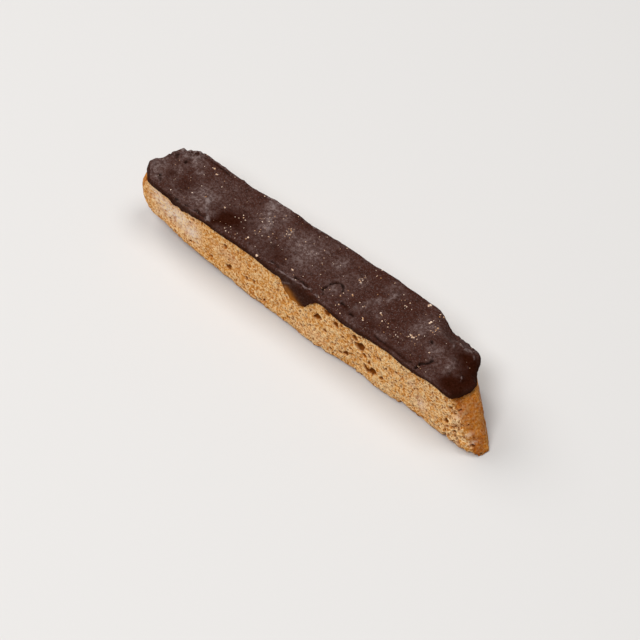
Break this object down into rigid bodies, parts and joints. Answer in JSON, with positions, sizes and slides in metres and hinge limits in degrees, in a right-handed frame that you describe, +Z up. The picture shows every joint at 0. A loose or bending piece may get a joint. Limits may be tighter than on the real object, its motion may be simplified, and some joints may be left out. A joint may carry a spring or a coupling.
{
  "type": "chocolate-dipped biscotti",
  "caption": "Long bias-cut twice-baked biscuit slice with a dark chocolate coating along its top edge.",
  "frame": {"origin": "centre of the whole at floor level, on the resting face", "axes": "+X along the slice towards its slanted pointed end, -Y out of the longer cut face, +Z up out of the chocolate"},
  "size_m": [0.1528, 0.025, 0.026],
  "materials": {
    "biscuit": "matte, dry and porous",
    "dark_chocolate": "soft sheen with a slight bloom"
  },
  "bodies": {
    "root": {"biscuit": "biscuit", "chocolate_coat": "dark_chocolate"}
  },
  "joints": []
}
